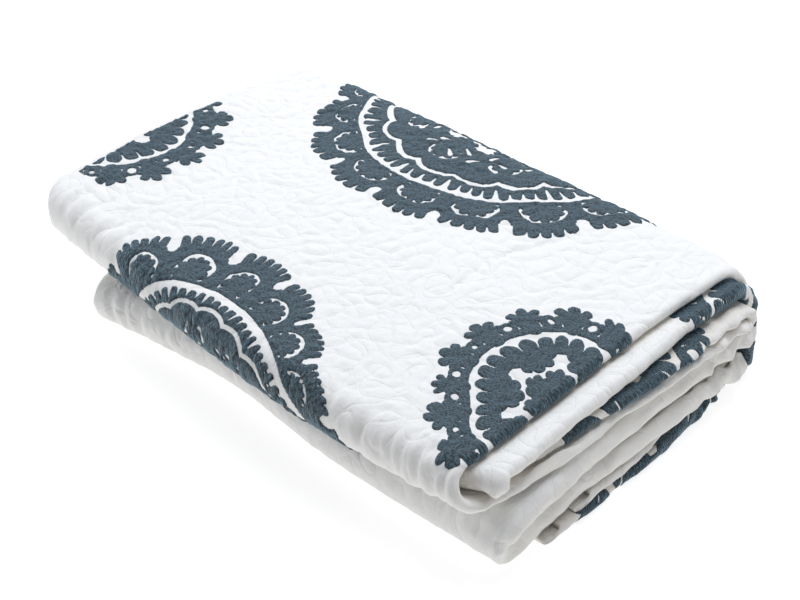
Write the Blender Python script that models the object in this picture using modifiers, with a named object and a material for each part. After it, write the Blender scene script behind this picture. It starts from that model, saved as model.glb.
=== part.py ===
"""A cotton bed quilt, folded flat as it is put away on a shelf.

The cloth is one sheet. It is pleated in four plies across, which makes a long band, and the band is then
folded over itself in five levels: bottom, round the back as an outer wrap, top, and three more levels inside.
The model is one solid: an open surface that follows all the folds, given the quilt's thickness.

X runs along the band's fold edges, with the stacked edges at +X. The rounded front folds are at -Y and the
outer wrap is at +Y. Z is up, and the underside lies on Z = 0. Lengths are in metres.
"""

import bmesh
import bpy
import numpy as np

# Cloth
CLOTH_THICKNESS = 0.0042
PLY_GAP = 0.0007
PLY_PITCH = CLOTH_THICKNESS + PLY_GAP
PLY_COUNT = 4
MIDDLE_PLY = (PLY_COUNT - 1) / 2

# Band of four plies, and the five levels that it is folded in
BAND_THICKNESS = (PLY_COUNT - 1) * PLY_PITCH + CLOTH_THICKNESS
LEVEL_GAP = 0.0013
LEVEL_PITCH = BAND_THICKNESS + LEVEL_GAP
BOTTOM_LEVEL = BAND_THICKNESS / 2
INNER_LOW_LEVEL = BOTTOM_LEVEL + LEVEL_PITCH
INNER_MIDDLE_LEVEL = INNER_LOW_LEVEL + LEVEL_PITCH
INNER_HIGH_LEVEL = INNER_MIDDLE_LEVEL + LEVEL_PITCH
TOP_LEVEL = INNER_HIGH_LEVEL + LEVEL_PITCH

# Places along Y of the folds' centre lines, from the front corner of the underside
WRAP_CENTRE = 0.326
WRAP_DEPTH = 0.037
INNER_TURN_CENTRE = 0.305
FRONT_FOLD_CENTRE = -0.016
LOWER_FOLD_CENTRE = 0.011
BOTTOM_FREE_END = 0.040
INNER_FREE_END = 0.312
LOWER_FOLD_TOP = 0.0440

# The free end of the bottom level is a wedge, on which the innermost level climbs: each ply inward starts later
WEDGE_STEP = 0.019
WEDGE_RISE_START = 0.012
WEDGE_RISE_END = 0.102

# One row for each level, in the order in which the band is folded: name, first Y, last Y, height at the first,
# height at the last, and the two places along Y between which its height changes
LEVELS = (
    ("bottom", BOTTOM_FREE_END, WRAP_CENTRE, BOTTOM_LEVEL, BOTTOM_LEVEL, BOTTOM_FREE_END, WRAP_CENTRE),
    ("top", WRAP_CENTRE, FRONT_FOLD_CENTRE, TOP_LEVEL, TOP_LEVEL, WRAP_CENTRE, FRONT_FOLD_CENTRE),
    (
        "inner_high", FRONT_FOLD_CENTRE, INNER_TURN_CENTRE, INNER_HIGH_LEVEL, INNER_HIGH_LEVEL,
        FRONT_FOLD_CENTRE, INNER_TURN_CENTRE,
    ),
    (
        "inner_middle", INNER_TURN_CENTRE, LOWER_FOLD_CENTRE, INNER_MIDDLE_LEVEL, LOWER_FOLD_TOP,
        INNER_TURN_CENTRE, LOWER_FOLD_CENTRE,
    ),
    (
        "inner_low", LOWER_FOLD_CENTRE, INNER_FREE_END, BOTTOM_LEVEL, INNER_LOW_LEVEL,
        WEDGE_RISE_START, WEDGE_RISE_END,
    ),
)

# One row for each turn between two levels: name, side of Y that it points to, depth along Y
TURNS = (
    ("wrap", 1, WRAP_DEPTH),
    ("front_fold", -1, 0.0120),
    ("inner_turn", 1, 0.0200),
    ("lower_fold", -1, 0.0150),
)

# Ends of the plies along X. One row for each station of the band, counted in sections from its first free end:
# station, outer pair's fold edge at +X, inner pair's fold edge at +X, far ends at -X
PLY_ENDS = (
    (0.0, 0.009, 0.000, -0.475),
    (0.35, 0.003, 0.000, -0.476),
    (0.6, 0.000, -0.001, -0.478),
    (0.85, -0.011, -0.004, -0.482),
    (1.0, -0.019, -0.008, -0.490),
    (1.25, -0.030, -0.014, -0.512),
    (1.5, -0.037, -0.022, -0.535),
    (2.0, -0.040, -0.022, -0.572),
    (2.3, -0.040, -0.020, -0.579),
    (2.5, -0.037, -0.015, -0.580),
    (2.7, -0.033, -0.009, -0.578),
    (2.85, -0.030, -0.003, -0.574),
    (3.0, -0.028, 0.002, -0.568),
    (3.5, -0.024, 0.006, -0.556),
    (4.0, -0.015, 0.002, -0.556),
    (4.2, -0.006, 0.002, -0.562),
    (4.6, -0.004, -0.002, -0.566),
    (5.0, -0.004, -0.008, -0.556),
    (6.0, -0.002, -0.002, -0.490),
    (7.0, 0.006, 0.008, -0.480),
    (8.0, 0.003, 0.004, -0.476),
    (9.0, -0.002, -0.004, -0.478),
)

# The far ends of the plies stand a little apart along X: outer hem, inner fold, inner hem
FAR_END_STEPS = (0.000, 0.006, 0.013)

# The front fold leans back towards the far end, along a curve that starts here. It counts fully between the
# two middle stations, and fades out at the first and the last
FRONT_FOLD_STATIONS = (2.0, 3.0, 4.0, 5.0)
FRONT_FOLD_LEAN = 0.046
LEAN_START = -0.140
LEAN_END = -0.580
LEAN_POWER = 1.6

# At the front fold the inner pair stops short of the outer one, most of all at the +X end
INNER_PAIR_SHORT = 0.036
INNER_PAIR_SHORT_LENGTH = 0.220

# The wrap's corner at the +X end is pulled in towards the stack
WRAP_STATIONS = (0.5, 1.0, 2.0, 2.6)
WRAP_PULL = 0.015
WRAP_PULL_LENGTH = 0.090

# The plies of the lower fold stand loose, so that the innermost one is lifted by this much
LOOSE_STATIONS = (7.4, 8.0)
LOOSE_LIFT = 0.0115

# Inner pair rises where the outer pair stops short of it
ROLL_START = 0.002
ROLL_END = 0.014
ROLL_RISE = 0.0040

# The middle of the folded quilt, from the front corner of the underside
MIDDLE = (-0.2845, 0.1675)

# Steps of the mesh
LEVEL_STEPS = 7
TURN_STEPS = 8
WRAP_STEPS = 12
PLY_STEPS = 6
LOOP_STEPS = 5


def smooth_through(value, stations, heights):
    """Values at stations, joined by cubic curves whose slope at a station is that of its neighbours' chord."""
    stations = np.asarray(stations, float)
    heights = np.asarray(heights, float)
    slopes = np.gradient(heights, stations)
    value = np.clip(value, stations[0], stations[-1])
    index = np.clip(np.searchsorted(stations, value, side="right") - 1, 0, len(stations) - 2)
    gap = stations[index + 1] - stations[index]
    share = (value - stations[index]) / gap
    rise = share * share * (3 - 2 * share)
    leaving = gap * slopes[index] * share * (1 - share) ** 2
    arriving = gap * slopes[index + 1] * share * share * (share - 1)
    return heights[index] * (1 - rise) + heights[index + 1] * rise + leaving + arriving


def ramp(value, start, end):
    """0 before start, 1 after end, and a cubic ease between."""
    share = np.clip((value - start) / (end - start), 0, 1)
    return share * share * (3 - 2 * share)


def window(value, stations):
    """0 before the first station, 1 between the middle two, and 0 after the last."""
    return ramp(value, stations[0], stations[1]) * (1 - ramp(value, stations[2], stations[3]))


def band_line(station, offset):
    """Centre line of the band and its normal, which points to the outer ply.

    Even sections are levels: a straight run along Y with an eased change of height. Odd sections are turns:
    half an ellipse from the end of one level to the start of the next. offset is the ply's place from the
    centre line, and only moves the stepped free end of the bottom level.
    """
    section = np.minimum(np.floor(station).astype(int), 2 * len(TURNS))
    share = station - section
    y = np.zeros_like(station)
    z = np.zeros_like(station)
    slope_y = np.zeros_like(station)
    slope_z = np.zeros_like(station)
    for number, (name, first, last, first_height, last_height, rise_start, rise_end) in enumerate(LEVELS):
        here = section == 2 * number
        wedge = (MIDDLE_PLY - offset / PLY_PITCH) * WEDGE_STEP if name == "bottom" else 0.0
        run = first + wedge + share * (last - first - wedge)
        risen = np.clip((run - rise_start) / (rise_end - rise_start), 0, 1)
        rise = last_height - first_height
        way = np.sign(last - first)
        y = np.where(here, run, y)
        z = np.where(here, first_height + rise * risen * risen * (3 - 2 * risen), z)
        slope_y = np.where(here, way, slope_y)
        slope_z = np.where(here, way * rise * 6 * risen * (1 - risen) / (rise_end - rise_start), slope_z)
    for number, (name, side, depth) in enumerate(TURNS):
        here = section == 2 * number + 1
        edge = LEVELS[number][2]
        start_height = LEVELS[number][4]
        end_height = LEVELS[number + 1][3]
        middle = (start_height + end_height) / 2
        half = (start_height - end_height) / 2
        angle = np.pi * share
        y = np.where(here, edge + side * depth * np.sin(angle), y)
        z = np.where(here, middle + half * np.cos(angle), z)
        slope_y = np.where(here, side * depth * np.cos(angle), slope_y)
        slope_z = np.where(here, -half * np.sin(angle), slope_z)
    size = np.hypot(slope_y, slope_z)
    return y, z, slope_z / size, -slope_y / size


def ply_place(station, across):
    """Place along X of a point of the pleated band, and its offset from the band's centre line.

    across counts plies and loops from the outer hem: a ply from 0 to 1, a loop from 1 to 2, and so on. A
    ply is straight. A loop is half a circle that joins two plies at one end of the band.
    """
    stations = [row[0] for row in PLY_ENDS]
    outer_end = smooth_through(station, stations, [row[1] for row in PLY_ENDS])
    inner_end = smooth_through(station, stations, [row[2] for row in PLY_ENDS])
    far_end = smooth_through(station, stations, [row[3] for row in PLY_ENDS])
    radius = PLY_PITCH / 2
    near = (outer_end - radius, outer_end - radius, inner_end - radius, inner_end - radius)
    far = (
        far_end + FAR_END_STEPS[0],
        far_end + FAR_END_STEPS[1],
        far_end + FAR_END_STEPS[1],
        far_end + FAR_END_STEPS[2],
    )
    section = np.minimum(np.floor(across).astype(int), 2 * PLY_COUNT - 2)
    share = across - section
    x = np.zeros_like(across)
    offset = np.zeros_like(across)
    for ply in range(PLY_COUNT):
        here = section == 2 * ply
        outward = ply % 2 == 0
        first = far[ply] if outward else near[ply]
        last = near[ply] if outward else far[ply]
        x = np.where(here, first + share * (last - first), x)
        offset = np.where(here, (MIDDLE_PLY - ply) * PLY_PITCH, offset)
    for loop in range(PLY_COUNT - 1):
        here = section == 2 * loop + 1
        side = 1 if loop % 2 == 0 else -1
        turn = near[loop] if side > 0 else far[loop]
        angle = np.pi * share
        x = np.where(here, turn + side * radius * np.sin(angle), x)
        offset = np.where(here, (1 - loop) * PLY_PITCH + radius * np.cos(angle), offset)
    past_outer = ramp(x, outer_end + ROLL_START, outer_end + ROLL_END)
    outer_side = ramp(offset, -MIDDLE_PLY * PLY_PITCH, -PLY_PITCH / 2) * (offset < 0)
    offset = offset + ROLL_RISE * past_outer * outer_side
    return x, offset


def cloth_point(station, across):
    """A point of the cloth's middle surface: the band's centre line, plus the ply's offset along its normal."""
    x, offset = ply_place(station, across)
    y, z, normal_y, normal_z = band_line(station, offset)
    leaning = np.clip((x - LEAN_START) / (LEAN_END - LEAN_START), 0, None) ** LEAN_POWER
    inner_pair = ramp(-offset, -PLY_PITCH / 2, PLY_PITCH / 2)
    short = INNER_PAIR_SHORT * inner_pair * ramp(x, -INNER_PAIR_SHORT_LENGTH, 0.0)
    pull = WRAP_PULL * ramp(x, -WRAP_PULL_LENGTH, 0.0)
    y = y + offset * normal_y
    y = y + window(station, FRONT_FOLD_STATIONS) * (FRONT_FOLD_LEAN * leaning + short)
    y = y - window(station, WRAP_STATIONS) * pull
    loose = ramp(station, *LOOSE_STATIONS) * (1 - ramp(y, WEDGE_RISE_START, WEDGE_RISE_END))
    inward = (MIDDLE_PLY - offset / PLY_PITCH) / (PLY_COUNT - 1)
    z = z + offset * normal_z + LOOSE_LIFT * loose * inward
    return np.stack((x - MIDDLE[0], y - MIDDLE[1], z), axis=-1)


def stations_along():
    """Stations along the band: a few on each level, more on each turn."""
    values = []
    for number in range(len(LEVELS)):
        values.extend(2 * number + np.arange(LEVEL_STEPS) / LEVEL_STEPS)
        if number < len(TURNS):
            steps = WRAP_STEPS if TURNS[number][0] == "wrap" else TURN_STEPS
            values.extend(2 * number + 1 + np.arange(steps) / steps)
    values.append(2 * len(LEVELS) - 1)
    return np.array(values)


def stations_across():
    """Stations across the plies, closer together at the fold edges."""
    spread = np.sin(np.linspace(0, np.pi / 2, PLY_STEPS + 1)[:-1])
    values = []
    for ply in range(PLY_COUNT):
        along = spread if ply % 2 == 0 else 1 - np.sin(np.linspace(np.pi / 2, 0, PLY_STEPS + 1)[:-1])
        values.extend(2 * ply + along)
        if ply < PLY_COUNT - 1:
            values.extend(2 * ply + 1 + np.arange(LOOP_STEPS) / LOOP_STEPS)
    values.append(2 * PLY_COUNT - 1)
    return np.array(values)


def cotton():
    """Off-white quilted cotton."""
    material = bpy.data.materials.new("ivory_cotton")
    material.use_nodes = True
    shader = material.node_tree.nodes["Principled BSDF"]
    shader.inputs["Base Color"].default_value = (0.80, 0.78, 0.73, 1)
    shader.inputs["Roughness"].default_value = 0.9
    shader.inputs["Metallic"].default_value = 0.0
    return material


def quilt(collection):
    """The whole quilt: a flat grid, laid along the folds, and given its thickness."""
    along = stations_along()
    across = stations_across()
    form = bmesh.new()
    bmesh.ops.create_grid(form, x_segments=len(along) - 1, y_segments=len(across) - 1, size=0.5)
    form.verts.ensure_lookup_table()
    flat = np.array([vertex.co[:2] for vertex in form.verts]) + 0.5
    column = np.rint(flat[:, 0] * (len(along) - 1)).astype(int)
    row = np.rint(flat[:, 1] * (len(across) - 1)).astype(int)
    places = cloth_point(along[column], across[row])
    for vertex, place in zip(form.verts, places):
        vertex.co = place
    mesh = bpy.data.meshes.new("quilt")
    form.to_mesh(mesh)
    form.free()
    mesh.shade_smooth()
    mesh.materials.append(cotton())
    piece = bpy.data.objects.new("quilt", mesh)
    collection.objects.link(piece)
    thickness = piece.modifiers.new("thickness", "SOLIDIFY")
    thickness.thickness = CLOTH_THICKNESS
    thickness.offset = 0
    return piece


def main():
    for item in list(bpy.data.objects):
        bpy.data.objects.remove(item)
    collection = bpy.data.collections.new("quilt")
    bpy.context.scene.collection.children.link(collection)
    quilt(collection)


main()
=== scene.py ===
"""Looks of a cotton bed quilt, folded flat: the quilted cloth on its folds, and its slate embroidery.

The cloth is one sheet, pleated in four plies across, and the long band that this makes is folded over itself
in five levels. A point of the cloth is given by its station along the band and its place across the pleats,
as in the solid. The cloth is laid on those folds with its quilting, puckers and wrinkles, and the embroidery
is laid on the cloth.

X runs along the fold edges, with the stacked edges at +X. The rounded front folds are at -Y and the outer
wrap is at +Y. Lengths are in metres.
"""

import itertools
import math

import bpy
import numpy as np
from mathutils import Matrix, Vector


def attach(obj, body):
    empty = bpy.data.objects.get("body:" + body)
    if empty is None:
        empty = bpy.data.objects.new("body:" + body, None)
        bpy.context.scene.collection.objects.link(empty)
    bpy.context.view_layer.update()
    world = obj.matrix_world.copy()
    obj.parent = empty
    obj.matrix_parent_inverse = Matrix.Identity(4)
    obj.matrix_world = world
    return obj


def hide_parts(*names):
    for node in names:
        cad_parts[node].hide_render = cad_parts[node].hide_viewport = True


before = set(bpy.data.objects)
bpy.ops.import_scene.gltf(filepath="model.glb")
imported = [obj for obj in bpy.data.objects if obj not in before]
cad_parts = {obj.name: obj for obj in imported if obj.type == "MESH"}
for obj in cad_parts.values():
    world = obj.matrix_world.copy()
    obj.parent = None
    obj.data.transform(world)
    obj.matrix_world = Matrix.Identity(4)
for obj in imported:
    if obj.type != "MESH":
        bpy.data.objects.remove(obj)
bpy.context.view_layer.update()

# Cloth as it is folded: the sizes, levels, turns and ply ends of the solid
CLOTH_THICKNESS = 0.0042
PLY_GAP = 0.0007
PLY_PITCH = CLOTH_THICKNESS + PLY_GAP
PLY_COUNT = 4
MIDDLE_PLY = (PLY_COUNT - 1) / 2
LOOP_RADIUS = PLY_PITCH / 2
LOOP_NOSE = 0.4
LOOP_REACH = LOOP_RADIUS * (1 + LOOP_NOSE)
BAND_THICKNESS = (PLY_COUNT - 1) * PLY_PITCH + CLOTH_THICKNESS
LEVEL_GAP = 0.0013
LEVEL_PITCH = BAND_THICKNESS + LEVEL_GAP
BOTTOM_LEVEL = BAND_THICKNESS / 2
INNER_LOW_LEVEL = BOTTOM_LEVEL + LEVEL_PITCH
INNER_MIDDLE_LEVEL = INNER_LOW_LEVEL + LEVEL_PITCH
INNER_HIGH_LEVEL = INNER_MIDDLE_LEVEL + LEVEL_PITCH
TOP_LEVEL = INNER_HIGH_LEVEL + LEVEL_PITCH

WRAP_CENTRE = 0.326
WRAP_DEPTH = 0.037
INNER_TURN_CENTRE = 0.305
FRONT_FOLD_CENTRE = -0.016
LOWER_FOLD_CENTRE = 0.011
BOTTOM_FREE_END = 0.040
INNER_FREE_END = 0.312
LOWER_FOLD_TOP = 0.0440
WEDGE_STEP = 0.019
WEDGE_RISE_START = 0.012
WEDGE_RISE_END = 0.102

# Where the middle inner level starts down towards the lower fold
DIP_START = 0.085

# One row for each level, in the order of the band: bottom, top, and the high, middle and low inner ones.
# First Y, last Y, height at the first, height at the last, and the places along Y between which it changes
LEVELS = (
    (BOTTOM_FREE_END, WRAP_CENTRE, BOTTOM_LEVEL, BOTTOM_LEVEL, BOTTOM_FREE_END, WRAP_CENTRE),
    (WRAP_CENTRE, FRONT_FOLD_CENTRE, TOP_LEVEL, TOP_LEVEL, WRAP_CENTRE, FRONT_FOLD_CENTRE),
    (
        FRONT_FOLD_CENTRE, INNER_TURN_CENTRE, INNER_HIGH_LEVEL, INNER_HIGH_LEVEL,
        FRONT_FOLD_CENTRE, INNER_TURN_CENTRE,
    ),
    (INNER_TURN_CENTRE, LOWER_FOLD_CENTRE, INNER_MIDDLE_LEVEL, LOWER_FOLD_TOP, DIP_START, LOWER_FOLD_CENTRE),
    (LOWER_FOLD_CENTRE, INNER_FREE_END, BOTTOM_LEVEL, INNER_LOW_LEVEL, WEDGE_RISE_START, WEDGE_RISE_END),
)

# One row for each turn between two levels, which are the wrap, the front fold, the inner turn and the lower
# fold: side of Y that it points to, and depth along Y
TURNS = (
    (1, WRAP_DEPTH),
    (-1, 0.0120),
    (1, 0.0200),
    (-1, 0.0150),
)

# Stations count levels and turns from the first free end, and stop just under the last number
LAST_STATION = 9
JUST_UNDER = 1e-9

# Ends of the plies along X: station, outer pair's fold edge at +X, inner pair's, and the far ends at -X
PLY_ENDS = (
    (0.0, 0.007, 0.0055, -0.475),
    (0.35, 0.003, -0.0005, -0.476),
    (0.6, 0.001, -0.010, -0.478),
    (0.85, -0.010, -0.012, -0.482),
    (1.0, -0.018, -0.010, -0.490),
    (1.25, -0.030, -0.014, -0.512),
    (1.5, -0.037, -0.022, -0.535),
    (2.0, -0.040, -0.022, -0.572),
    (2.3, -0.040, -0.019, -0.579),
    (2.5, -0.037, -0.013, -0.580),
    (2.7, -0.033, -0.010, -0.578),
    (2.85, -0.030, -0.006, -0.574),
    (3.0, -0.028, -0.002, -0.568),
    (3.3, -0.025, 0.002, -0.561),
    (3.5, -0.021, 0.002, -0.556),
    (3.7, -0.016, -0.003, -0.556),
    (4.0, -0.008, -0.011, -0.556),
    (4.25, 0.000, -0.010, -0.562),
    (4.45, -0.004, -0.006, -0.565),
    (4.7, -0.003, -0.004, -0.566),
    (5.0, -0.004, -0.008, -0.556),
    (6.0, -0.002, -0.012, -0.490),
    (6.4, -0.001, -0.014, -0.486),
    (6.7, 0.004, -0.012, -0.482),
    (7.0, 0.010, -0.006, -0.480),
    (7.3, 0.010, -0.006, -0.478),
    (8.0, 0.000, -0.010, -0.476),
    (8.3, 0.003, -0.012, -0.476),
    (9.0, 0.001, -0.012, -0.478),
)
# How far each ply stays short of the far end
FAR_END_STEPS = (0.000, 0.006, 0.006, 0.013)

# Front fold: how it leans back towards the far end, and how the inner pair in it stays back
FRONT_FOLD_STATIONS = (2.0, 3.0, 4.0, 5.0)
FRONT_FOLD_LEAN = 0.046
LEAN_START = -0.140
LEAN_END = -0.580
LEAN_POWER = 1.6
INNER_PAIR_START = 3.5
INNER_PAIR_SHORT = 0.021
INNER_PAIR_SHORT_PLACES = (-0.055, 0.012)
SETBACK_TURNS = (4.0, 4.6)

# Wrap, which is pulled in at its end at +X, and the loose layers inside the lower fold
WRAP_STATIONS = (0.5, 1.0, 2.0, 2.6)
WRAP_PULL = 0.015
WRAP_PULL_LENGTH = 0.090
LOOSE_STATIONS = (7.4, 8.0)
LOOSE_LIFT = 0.0115

# Ends at +X: where the inner pair is longer it rolls up, and where the outer pair is, it flares and slants
LOOP_PINCH = 0.6
ROLL_START = 0.002
ROLL_END = 0.014
ROLL_RISE = 0.0040
FLARE_PAST = (0.004, 0.010)
FLARE_START = 0.003
FLARE_LENGTH = 0.008
FLARE_DROP = 0.0088
LIP_SLANT = 0.0050
LIP_TURNED = (5.5, 7.5)

# Middle of the folded quilt along X and Y, which is moved to the origin
MIDDLE = (-0.2845, 0.1675)

# Grid of the cloth: cells are grouped in blocks, and a block that nobody sees is one face
BLOCK = 4
VISIBLE_STEP = 0.0024
EDGE_STEP = 0.0030
HIDDEN_STEP = 0.0035
HIDDEN_COLUMN_STEP = 0.0030
LOOP_STEPS = 12
JOIN_SHARE = 0.10
JOIN_GAP = 0.0004
OUTER_PLY_WIDTH = 0.54
INNER_PLY_WIDTH = 0.52
HIDDEN_SHARE = 0.80
STATION_STEPS = (
    HIDDEN_STEP, EDGE_STEP, VISIBLE_STEP, VISIBLE_STEP, HIDDEN_STEP, HIDDEN_STEP, HIDDEN_STEP, EDGE_STEP,
    HIDDEN_STEP,
)

# Heights of the cloth's two sides from its middle surface
FACE_HEIGHT = 0.0017
BACK_HEIGHT = 0.0019

# Quilting: the cloth puffs between stitches that meander all over it, with slow swells and fine wrinkles
QUILTING_LENGTH = 0.0400
QUILTING_WAVES = 40
WAVE_SPREAD = 0.3
LOFT = 0.0015
HIDDEN_LOFT = 0.0004
PUFF_SHARE = 0.25
PILLOW_POWER = 0.42
SWELL_HEIGHT = 0.0006
WRINKLE_HEIGHT = 0.00022
LOOP_CALM = 0.55

# Where the face is open to the air: stations where it fades in and out, how open the less open parts are, and
# the places across at which the outer ply, the inner one and the loops end as open faces
TOP_FACE_STATIONS = (0.7, 1.1, 3.8, 4.2)
LOWER_FACE_STATIONS = (6.6, 7.0, 7.5, 7.9)
BESIDE_STATIONS = (0.8, 1.2, 3.9, 4.3)
BESIDE_PLACES = (0.001, 0.012)
BESIDE_OPENNESS = 0.3
EDGE_OPENNESS = 0.22
OUTER_PLY_END = 1.3
INNER_PLY_END = 5.4
LAST_OPEN_PLACE = 5.99

# Main creases on the outer face. One row for each: start and end, as X and the length along
# the cloth from the start of the top level, half width, and depth. At its ends a crease has this share of it
CREASE_ENDS = 0.25
CREASES = (
    (-0.176, 0.322, -0.149, 0.360, 0.0035, 0.0026),
    (-0.160, 0.328, -0.136, 0.358, 0.0035, 0.0022),
    (-0.112, 0.338, -0.124, 0.348, 0.0040, 0.0022),
    (-0.124, 0.348, -0.116, 0.362, 0.0040, 0.0026),
    (-0.104, 0.349, -0.096, 0.364, 0.0030, 0.0020),
    (-0.094, 0.345, -0.084, 0.365, 0.0035, 0.0024),
    (-0.080, 0.341, -0.076, 0.370, 0.0035, 0.0026),
    (-0.065, 0.343, -0.057, 0.370, 0.0035, 0.0036),
    (-0.066, 0.345, -0.043, 0.347, 0.0040, 0.0024),
    (-0.046, 0.350, -0.040, 0.372, 0.0040, 0.0034),
    (-0.036, 0.346, -0.031, 0.366, 0.0035, 0.0034),
    (-0.187, 0.196, -0.195, 0.130, 0.0028, 0.0022),
    (-0.195, 0.130, -0.187, 0.096, 0.0032, 0.0018),
    (-0.187, 0.096, -0.165, 0.044, 0.0036, 0.0018),
    (-0.530, 0.334, -0.537, 0.364, 0.0040, 0.0030),
    (-0.466, 0.334, -0.482, 0.358, 0.0035, 0.0026),
    (-0.482, 0.318, -0.470, 0.352, 0.0040, 0.0030),
    (-0.534, 0.305, -0.532, 0.350, 0.0045, 0.0026),
    (-0.504, 0.322, -0.514, 0.362, 0.0035, 0.0028),
    (-0.452, 0.330, -0.446, 0.362, 0.0035, 0.0022),
    (-0.201, 0.312, -0.198, 0.288, 0.0030, 0.0014),
    (-0.162, 0.329, -0.159, 0.306, 0.0030, 0.0014),
    (-0.034, 1.0500, 0.010, 1.0500, 0.0022, 0.0030),
    (-0.030, 1.0575, 0.002, 1.0575, 0.0022, 0.0026),
    (-0.462, 1.052, -0.454, 1.076, 0.0040, 0.0034),
    (-0.444, 1.050, -0.440, 1.078, 0.0040, 0.0030),
    (-0.424, 1.054, -0.424, 1.080, 0.0045, 0.0026),
    (-0.395, 1.056, -0.385, 1.080, 0.0045, 0.0022),
)

# Embroidery: step of its grid, the least size that a value of the drawing's field is given, its section, and
# how far past or before a fold edge it goes
THREAD_STEP = 0.0011
LEAST_FIELD = 0.00004
THREAD_CROWN = 0.0012
THREAD_SINK = 0.0003
THREAD_ROUND = 0.0016
THREAD_PAST_EDGE = 0.042
THREAD_BEFORE_EDGE = 0.040
FAR_EDGE_MARGIN = 0.004
RIM_MARGIN = 0.004
PLAIN_REACH = 0.120

# Unsteady hand: seed, number, length and spread of the waves that shift the drawing, and how far
HAND_WAVES = (31, 10, 0.070, 0.4)
HAND_SHIFT = 0.0011

# Drawn shapes. A spoke is its start and end outward and its half width at each. A palmette is its middle, its
# petals, their length and their half width. A leafy ring is its two radii, its sprays, their turn, and the
# length and half width of their leaves

# Large rosette, before it is stretched: its fans, the width of one, the radii of their clean ring, bodies and
# tips, how far the outer fingers of a fan are shorter, and its palmette and the keyhole beside it
FANS = 18
FAN_WIDTH = 0.0545
CLEAN_RING = 0.1390
FAN_BODY = 0.1735
FAN_TIPS = 0.1905
FAN_ARCH = 0.0040
FAN_PALMETTE = (0.1500, 7, 0.0135, 0.0040)
KEYHOLE = (0.1725, 0.2050, 0.0040, 0.0026)

# Fingers on a fan: the radii that their roots lie at and that they are spaced at, how close the roots are,
# and their half widths as shares of the pitch
FINGER_ROOTS = 0.1660
FINGER_SPACING = 0.1800
ROOT_CLOSENESS = 0.85
ROOT_WIDTH = 0.56
TIP_WIDTH = 0.44

# Ring of teeth: its radii and turn, where the teeth of a sector lie sideways, one tooth as a spoke, how close
# its root is, how much longer it is in a parted rosette, the notch between sectors, and the scalloped line as
# middle, radius and half width
TEETH_RING = (0.1000, 0.1205)
TEETH_TURN = 0.09
TEETH = (-0.0165, -0.0055, 0.0055, 0.0165)
TOOTH = (0.1180, 0.1265, 0.0053, 0.0044)
TOOTH_CLOSENESS = 0.93
LONGER_TOOTH = 0.0030
NOTCH = (0.1200, 0.1350, 0.0008, 0.0032)
SCALLOP = (0.0884, 0.0276, 0.0021)

# Middle of a large rosette: its palmettes with the width of their line, how many and their turn, its leafy
# rings, its rings of small gaps, as their number, radius and turn, and one small gap: how far sideways it
# starts, how far outward and sideways it ends, and its half widths
MIDDLE_PALMETTE = (0.0830, 6, 0.0100, 0.0036, 0.0022)
MIDDLE_PALMETTES = (9, 0.25)
LEAFY_RINGS = ((0.0450, 0.0640, 9, 0.25, 0.0130, 0.0036), (0.0180, 0.0360, 6, 0.0, 0.0100, 0.0044))
FLECKS = ((21, 0.0800, 0.10), (17, 0.0690, 0.35), (14, 0.0560, 0.00))
FLECK_START = -0.0032
FLECK_END = (0.0050, 0.0030)
FLECK_WIDTHS = (0.0008, 0.0019)

# Sprays of a leafy ring: how far past the rim they start, their petals and their spread, for those that point
# inward, and the same for those from the middle, which have a length of their own
RIM_SPRAY = (0.002, 5, 76)
MIDDLE_SPRAY = (0.004, 3, 55, 0.0090)

# Small rosette: its flowers, the radii of the thin ring under them, of their middles and of their tips, a
# flower's body as a spoke, its petals as angle and length, the radius that the eyelets lie at, that of the
# rim round one, its own, which changes by a wave as least, growth and step, and the disc with its lobes and
# leafy ring
FLOWERS = 16
THIN_RING = 0.0790
THIN_RING_END = 0.0870
FLOWER_PLACE = 0.0965
FLOWER_TIPS = 0.1115
FLOWER_BODY = (0.085, 0.0980, 0.0080, 0.0100)
PETALS = ((0, 0.0145), (46, 0.0142), (-46, 0.0142), (94, 0.0112), (-94, 0.0112))
PETAL_WIDTHS = (0.0040, 0.0050)
EYELET_PLACE = 0.0920
EYELET_RIM = 0.0088
EYELET = (0.0024, 0.0017, 2.2)
DISC = 0.0620
DISC_LOBE = (0.052, 0.0672, 0.0066, 0.0072)
DISC_TURN = 0.1
DISC_LEAVES = (0.0240, 0.0500, 6, 0.20, 0.0165, 0.0058)

# White line round a palmette: its inset, and the width on top, which changes by a wave from fan to fan, as
# middle, reach and step. Then, in degrees from the top, the spread of the palmette's petals, where the line
# is wide when it is whole and when it is parted, and where it ends
LINE_INSET = 0.0005
LINE_WIDTHS = (0.0026, 0.0008, 2.1)
PALMETTE_SPREAD = 100
WHOLE_LINE = (-85, -20, 75, 112)
PARTED_LINE = ((-105, -75, -40, -15), (10, 35, 70, 100))
LINE_END = 118

# Nearest that the cloth comes to the surface that it lies on
FLOOR_REST = 0.0012

# How far back the lower fold lies at places along X, and how far the front fold droops over it
LOWER_FOLD_BACK = (
    (-0.600, 0.0),
    (-0.479, 0.0),
    (-0.451, 0.0030),
    (-0.410, 0.0075),
    (-0.381, 0.0098),
    (-0.356, 0.0124),
    (-0.330, 0.0135),
    (-0.303, 0.0130),
    (-0.274, 0.0108),
    (-0.242, 0.0062),
    (-0.211, 0.0022),
    (-0.186, 0.0),
    (0.010, 0.0),
)
LOWER_FOLD_TOPS = (0.040, 0.060)
LOWER_FOLD_DEPTH = 0.150
DROOP = 0.0052
DROOP_FADE = (-0.075, -0.015)
DROOP_DEPTH = (0.015, 0.070)
DROOP_HEIGHTS = (0.020, 0.052, 0.066, 0.092)

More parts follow.
